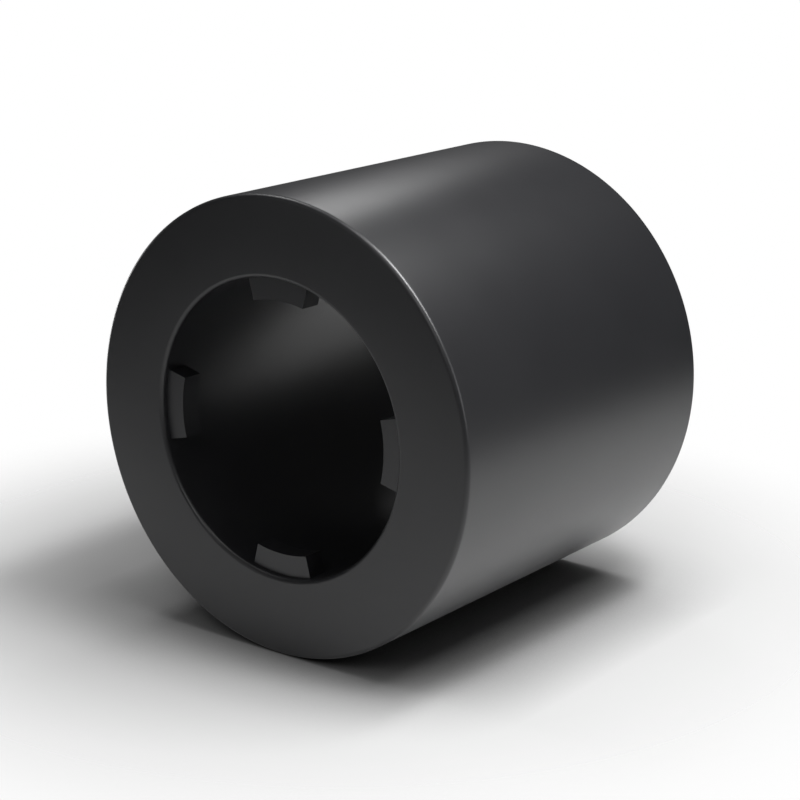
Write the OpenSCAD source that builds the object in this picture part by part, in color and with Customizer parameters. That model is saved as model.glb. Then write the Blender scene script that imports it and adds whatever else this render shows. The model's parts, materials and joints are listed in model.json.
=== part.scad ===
// Self-retaining spacer bushing, moulded in one piece from black nylon.
// It is a plain round tube. A screw passes down its bore with a little room to spare, and
// four low lugs, just inside one mouth of the bore, grip the screw's thread, so that the
// spacer stays on the screw while the joint is put together.
// It stands on its plain end, with that end's centre at the origin and the lugs at the top.

/* [Tube] */
// Outer diameter of the tube
outer_d = 8; // [7.5:0.5:16]
// Length of the tube from one end face to the other
length = 7; // [2.5:0.5:40]
// Radius of the rounded outer edge of each end face
edge_round = 0.08; // [0.02:0.01:0.2]

/* [Bore] */
// Thread size of the screw that the spacer goes on
screw_d = 5; // [3:0.5:6]
// How much wider than the screw the bore is
bore_clearance = 0.2; // [0.1:0.05:0.4]
// Radius of the rounded mouth at each end of the bore
mouth_round = 0.08; // [0.02:0.01:0.2]

/* [Lugs] */
// Number of lugs, spread evenly around the bore
lug_count = 4; // [2:1:6]
// How much narrower than the screw the circle inside the lugs is
thread_grip = 0.57; // [0.1:0.01:1.2]
// Angle that each lug takes up around the bore, in degrees
lug_angle = 28; // [10:1:50]
// Length of a lug along the bore
lug_length = 0.39; // [0.2:0.01:1]
// How far the lugs lie back from the end face
lug_recess = 0.13; // [0:0.01:0.5]

/* [Hidden] */
$fn = 180;
// Diameter of the bore's wall
bore_d = screw_d + bore_clearance;
// Diameter of the circle that the lugs' inner faces lie on
lug_circle_d = screw_d - thread_grip;
// Thickness of the tube's wall
wall = (outer_d - bore_d) / 2;
// How deep each lug is rooted in the wall
lug_root = wall / 2;
// Height of the lugs' undersides above the plain end
lug_base_z = length - lug_recess - lug_length;
// How far a cut runs past the face that it leaves
past = 0.1;

// What a rounded edge takes off a square corner at the origin, in the corner's own quarter
module corner_waste(radius) {
    difference() {
        translate([-past, -past]) square(radius + past);
        translate([radius, radius]) circle(r = radius);
    }
}

// Section of the tube's wall, with its inner face at x = 0 and its lower end at y = 0
module wall_section() {
    difference() {
        square([wall, length]);
        corner_waste(mouth_round);
        translate([wall, 0]) mirror([1, 0]) corner_waste(edge_round);
        translate([0, length]) mirror([0, 1]) {
            corner_waste(mouth_round);
            translate([wall, 0]) mirror([1, 0]) corner_waste(edge_round);
        }
    }
}

// Plain round tube with a rounded edge wherever an end face meets the outside or the bore
module tube() {
    rotate_extrude() translate([bore_d / 2, 0]) wall_section();
}

// One lug: a block with a flat front and back, radial sides and an inner face that
// follows the screw. It is centred on +X and rooted in the wall.
module lug() {
    translate([0, 0, lug_base_z])
        rotate([0, 0, -lug_angle / 2])
            rotate_extrude(angle = lug_angle)
                translate([lug_circle_d / 2, 0])
                    square([(bore_d - lug_circle_d) / 2 + lug_root, lug_length]);
}

module spacer_bushing() {
    color("#2e2f31") {
        tube();
        for (i = [0 : lug_count - 1]) rotate([0, 0, i * 360 / lug_count]) lug();
    }
}

spacer_bushing();
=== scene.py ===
import json
import math

import bpy
from mathutils import Matrix, Vector


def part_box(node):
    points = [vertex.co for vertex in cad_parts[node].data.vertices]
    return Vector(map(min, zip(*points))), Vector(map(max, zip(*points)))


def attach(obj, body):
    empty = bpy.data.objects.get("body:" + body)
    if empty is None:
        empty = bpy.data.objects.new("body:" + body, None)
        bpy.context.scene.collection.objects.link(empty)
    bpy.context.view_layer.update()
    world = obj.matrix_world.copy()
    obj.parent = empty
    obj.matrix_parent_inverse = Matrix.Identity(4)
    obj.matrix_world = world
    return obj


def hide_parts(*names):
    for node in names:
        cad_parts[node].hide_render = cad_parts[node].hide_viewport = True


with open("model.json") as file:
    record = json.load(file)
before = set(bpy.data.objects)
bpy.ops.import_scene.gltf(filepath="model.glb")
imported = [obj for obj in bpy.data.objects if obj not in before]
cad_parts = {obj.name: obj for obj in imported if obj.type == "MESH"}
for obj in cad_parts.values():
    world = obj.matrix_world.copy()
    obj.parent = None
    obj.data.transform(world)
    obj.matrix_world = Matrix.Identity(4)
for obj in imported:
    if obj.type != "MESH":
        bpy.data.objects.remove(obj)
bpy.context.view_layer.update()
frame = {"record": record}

# The bushing is a single moulding of black nylon: a plain tube with four low lugs in the mouth of
# its bore. Tube and lugs leave the mould together, with a small round on each edge of the end faces.
MM = 0.001
hair = MM / 1000
lowest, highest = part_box("spacer_bushing")
mounts = {mount["name"]: mount for mount in frame["record"]["mounts"]}
outer_radius = highest.x
tube_length = highest.z - lowest.z
bore_radius = mounts["screw_bore"]["dims"]["r_mm"] * MM
edge_round = (tube_length - mounts["screw_bore"]["dims"]["length_mm"] * MM) / 2
round_steps = 12
wall = outer_radius - bore_radius

# the wall's section, a rectangle with rounded corners beside the axis
bpy.ops.object.select_all(action="DESELECT")
bpy.ops.mesh.primitive_plane_add(size=1, rotation=(math.radians(90), 0, 0))
bushing = bpy.context.object
bushing.name = bushing.data.name = "moulded_bushing"
bushing.location = (bore_radius + wall / 2, 0, tube_length / 2)
bushing.scale = (wall, tube_length, 1)
bpy.ops.object.transform_apply(location=True, rotation=True, scale=True)
bpy.ops.object.mode_set(mode="EDIT")
bpy.ops.mesh.select_all(action="SELECT")
bpy.ops.mesh.bevel(offset=edge_round, offset_type="OFFSET", segments=round_steps, affect="VERTICES")
bpy.ops.mesh.delete(type="ONLY_FACE")

# the section is turned about the axis, a step for each degree
bpy.ops.mesh.select_all(action="SELECT")
bpy.ops.mesh.spin(steps=360, angle=math.radians(360), center=(0, 0, 0), axis=(0, 0, 1))
bpy.ops.mesh.select_all(action="SELECT")
bpy.ops.mesh.remove_doubles(threshold=hair)
bpy.ops.mesh.normals_make_consistent(inside=False)

# the lugs are drawn in from the bore's wall: two cuts mark their length, and the marked
# faces are extruded and shrunk towards the axis, so that their inner faces follow the screw
lug_radius = mounts["lug_grip"]["dims"]["r_mm"] * MM
lug_length = mounts["lug_grip"]["dims"]["length_mm"] * MM
lug_middle = mounts["lug_grip"]["pos_m"][2]
lug_angle = 28
lug_turn = 90
for cut_height in (lug_middle - lug_length / 2, lug_middle + lug_length / 2):
    bpy.ops.mesh.select_all(action="SELECT")
    bpy.ops.mesh.bisect(plane_co=(0, 0, cut_height), plane_no=(0, 0, 1), threshold=hair)
bpy.ops.mesh.select_all(action="DESELECT")
bpy.ops.mesh.select_mode(type="FACE")
bpy.ops.object.mode_set(mode="OBJECT")
for face in bushing.data.polygons:
    middle = face.center
    turn = math.degrees(math.atan2(middle.y, middle.x))
    from_lug = (turn + lug_turn / 2) % lug_turn - lug_turn / 2
    face.select = (
        math.hypot(middle.x, middle.y) < bore_radius + hair
        and abs(middle.z - lug_middle) < lug_length / 2
        and abs(from_lug) < lug_angle / 2
    )
bpy.ops.object.mode_set(mode="EDIT")
bpy.ops.mesh.extrude_region()
lug_shrink = lug_radius / bore_radius
bpy.ops.transform.resize(value=(lug_shrink, lug_shrink, 1), center_override=(0, 0, 0))
bpy.ops.object.mode_set(mode="OBJECT")

# only the lugs' edges are sharp, and the flat faces are shaded flat up to their rounded edges
sharp_from = math.radians(35)
bpy.ops.object.shade_smooth_by_angle(angle=sharp_from)
flatten = bushing.modifiers.new("flat_faces", "WEIGHTED_NORMAL")
flatten.keep_sharp = True
bpy.ops.object.modifier_apply(modifier=flatten.name)


class Finish:
    """One output of a material's nodes, which is reckoned with like a number."""

    def __init__(self, tree, socket=None):
        self.tree = tree
        self.socket = socket

    def add(self, kind, settings=None, sockets=None, output=None):
        """Adds a node of this kind, and gives back the output that has this name, or its first one."""
        node = self.tree.nodes.new(kind)
        for name, value in (settings or {}).items():
            setattr(node, name, value)
        for name, value in (sockets or {}).items():
            socket = node.inputs[name] if isinstance(name, int) else next(
                entry for entry in node.inputs if entry.name == name and entry.enabled)
            if isinstance(value, Finish):
                self.tree.links.new(value.socket, socket)
            else:
                socket.default_value = value
        live = [entry for entry in node.outputs if entry.enabled and output in (None, entry.name)]
        return Finish(self.tree, live[0] if live else None)

    def reckon(self, operation, first, second):
        return self.add("ShaderNodeMath", {"operation": operation}, {0: first, 1: second})

    def __add__(self, other):
        return self.reckon("ADD", self, other)

    __radd__ = __add__

    def __mul__(self, other):
        return self.reckon("MULTIPLY", self, other)

    __rmul__ = __mul__


# The nylon is black right through. It has the fine satin of a spark-eroded mould, and the melt has
# left faint clouds in it.
nylon = bpy.data.materials.new("black_nylon")
nylon.use_nodes = True
nylon_shader = nylon.node_tree.nodes["Principled BSDF"]
nylon_shader.inputs["IOR"].default_value = 1.5
nodes = Finish(nylon.node_tree)
place = nodes.add("ShaderNodeTexCoord", output="Object")
# slow clouds, about as wide as the wall is thick, as the melt cooled a little unevenly
cloud_width = MM / 0.7
clouds = nodes.add(
    "ShaderNodeTexNoise", {},
    {"Vector": place, "Scale": 1 / cloud_width, "Detail": 3, "Roughness": 0.55}, "Fac")
# the mould's grain, in cells a few hundredths of a millimetre wide
grain_width = MM / 22
grain = nodes.add(
    "ShaderNodeTexNoise", {},
    {"Vector": place, "Scale": 1 / grain_width, "Detail": 2, "Roughness": 0.6}, "Fac")

dark_nylon = (0.0090, 0.0091, 0.0102, 1)
light_nylon = (0.0120, 0.0122, 0.0137, 1)
cloud_share = 0.7
lightness = clouds * cloud_share + grain * (1 - cloud_share)
colour = nodes.add(
    "ShaderNodeMix", {"data_type": "RGBA"},
    {"Factor": lightness, "A": dark_nylon, "B": light_nylon}, "Result")
satin = 0.39
cloud_satin = 0.04
grain_satin = 0.02
roughness = clouds * cloud_satin + grain * grain_satin + (satin - (cloud_satin + grain_satin) / 2)

grain_depth = 0.0006 * MM
bump = nodes.add(
    "ShaderNodeBump", {}, {"Height": grain, "Distance": grain_depth, "Strength": 1.0}, "Normal")
for name, value in (("Base Color", colour), ("Roughness", roughness), ("Normal", bump)):
    nylon.node_tree.links.new(value.socket, nylon_shader.inputs[name])
bushing.data.materials.append(nylon)

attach(bushing, "root")
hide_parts("spacer_bushing")


# The camera keeps the photograph's viewing angle on the bushing: in front of the lug end, to its
# right and a little above. There the bushing lies on its side, so up in the picture is its +X.
def turn_to_face(thing, target):
    look = (target - thing.location).normalized()
    right = look.cross(Vector((1, 0, 0))).normalized()
    up = right.cross(look)
    thing.rotation_mode = "QUATERNION"
    thing.rotation_quaternion = Matrix((right, up, -look)).transposed().to_quaternion()


camera_place = Vector((10.501, -23.322, 33.764)) * MM
camera_target = Vector((0.1107, -0.7290, 4.5103)) * MM
camera_data = bpy.data.cameras.new("camera")
camera_data.lens = 99.3
camera_data.sensor_width = 36
camera_data.clip_start = MM
camera_data.clip_end = 1000 * MM
camera = bpy.data.objects.new("camera", camera_data)
bpy.context.collection.objects.link(camera)
camera.location = camera_place
turn_to_face(camera, camera_target)
bpy.context.scene.camera = camera

# The floor is a sheet of white card under the bushing's side, and is seen from above only. It thins
# out to the white of the room around it, sooner for the camera than for the bushing, which it lights
# from below. The camera sees it in a greyer tone, with painted shade that is darkest where the
# bushing touches it.
floor_width = 80 * MM
# its middle lies a little to the left, on the side that the shadows fall on
floor_shift = 1.2 * MM
bpy.ops.object.select_all(action="DESELECT")
bpy.ops.mesh.primitive_plane_add(
    size=floor_width, location=(-outer_radius, floor_shift, tube_length / 2),
    rotation=(0, math.radians(90), 0))
floor = bpy.context.object
floor.name = "floor"
card = bpy.data.materials.new("white_card")
card.use_nodes = True
card.node_tree.nodes.clear()
nodes = Finish(card.node_tree)
seen = nodes.add("ShaderNodeLightPath", output="Is Camera Ray")
place = nodes.add("ShaderNodeTexCoord", output="Object")
from_part = nodes.add("ShaderNodeVectorMath", {"operation": "LENGTH"}, {0: place}, "Value")
# where the card begins to thin out and where it ends, for the bushing and for the camera
lit_near, lit_far = 14 * MM, 32 * MM
seen_near, seen_far = 4.5 * MM, 12 * MM
thinned = nodes.add(
    "ShaderNodeMapRange", {"interpolation_type": "SMOOTHSTEP"},
    {"Value": from_part,
     "From Min": lit_near + seen * (seen_near - lit_near),
     "From Max": lit_far + seen * (seen_far - lit_far)})
from_below = nodes.add("ShaderNodeNewGeometry", output="Backfacing")
gone = nodes.reckon("MAXIMUM", thinned, from_below)
card_white = (0.8, 0.8, 0.8, 1)
card_grey = (0.5, 0.5, 0.5, 1)
# how close the bushing is to the card where the painted shade begins to darken it
painted_shade_reach = 2.4 * MM
# painted shade: ambient occlusion darkens the camera's grey card near the bushing, a painted contact
# shadow
painted_touch_shade = nodes.add(
    "ShaderNodeAmbientOcclusion", {"samples": 16}, {"Color": card_grey, "Distance": painted_shade_reach}, "Color")
tone = nodes.add(
    "ShaderNodeMix", {"data_type": "RGBA"}, {"Factor": seen, "A": card_white, "B": painted_touch_shade}, "Result")
white = nodes.add("ShaderNodeBsdfDiffuse", {}, {"Color": tone})
clear = nodes.add("ShaderNodeBsdfTransparent")
sheet = nodes.add("ShaderNodeMixShader", {}, {0: gone, 1: white, 2: clear})
nodes.add("ShaderNodeOutputMaterial", {}, {"Surface": sheet})
floor.data.materials.append(card)

# Soft studio light, as in the photograph. A key softbox high up, with a smaller one at its right,
# lights the tube's side, and a strip at the back its top. A box on the left and one overhead draw the
# bright line along the face's upper rim, one in front lights the face, and weak fills stand around.
part_middle = Vector((0, 0, tube_length / 2))
# each lamp's place, width and height in millimetres, and how bright its face is
for name, where, width, height, brightness in (
    ("key_box", (22.0, -9.1, 0.4), 11.1, 3.8, 45.8),
    ("side_spot", (15.8, -12.1, 5.3), 3.4, 6.0, 34.5),
    ("back_strip", (17.4, 9.8, -11.2), 5.8, 1.9, 18.4),
    ("rim_box", (20.8, 11.7, 6.1), 4.8, 4.8, 16.2),
    ("top_box", (23.2, -2.4, 9.2), 8.8, 8.8, 4.0),
    ("front_box", (27.5, -15.1, 39.8), 17.6, 17.6, 3.65),
    ("low_fill", (6.2, -23.0, 0.4), 8.8, 8.8, 3.7),
    ("left_fill", (6.2, 8.8, 24.9), 8.8, 8.8, 0.8),
    ("back_fill", (-0.5, 28.0, 3.5), 6.0, 6.0, 12.0),
):
    lamp_data = bpy.data.lights.new(name, "AREA")
    lamp_data.shape = "RECTANGLE"
    lamp_data.size = width * MM
    lamp_data.size_y = height * MM
    lamp_data.energy = brightness * math.pi * lamp_data.size * lamp_data.size_y
    lamp = bpy.data.objects.new(name, lamp_data)
    bpy.context.collection.objects.link(lamp)
    lamp.location = Vector(where) * MM
    lamp.visible_camera = False
    turn_to_face(lamp, part_middle)

# The room is white to the camera, and dim around the bushing, so that the lamps shape its light.
dim_room = 0.041
world = bpy.data.worlds.new("world")
bpy.context.scene.world = world
world.use_nodes = True
world.node_tree.nodes.clear()
nodes = Finish(world.node_tree)
seen = nodes.add("ShaderNodeLightPath", output="Is Camera Ray")
sky = nodes.add(
    "ShaderNodeBackground", {}, {"Color": (1, 1, 1, 1), "Strength": seen * (1 - dim_room) + dim_room})
nodes.add("ShaderNodeOutputWorld", {}, {"Surface": sky})
bpy.context.scene.view_settings.view_transform = "Standard"
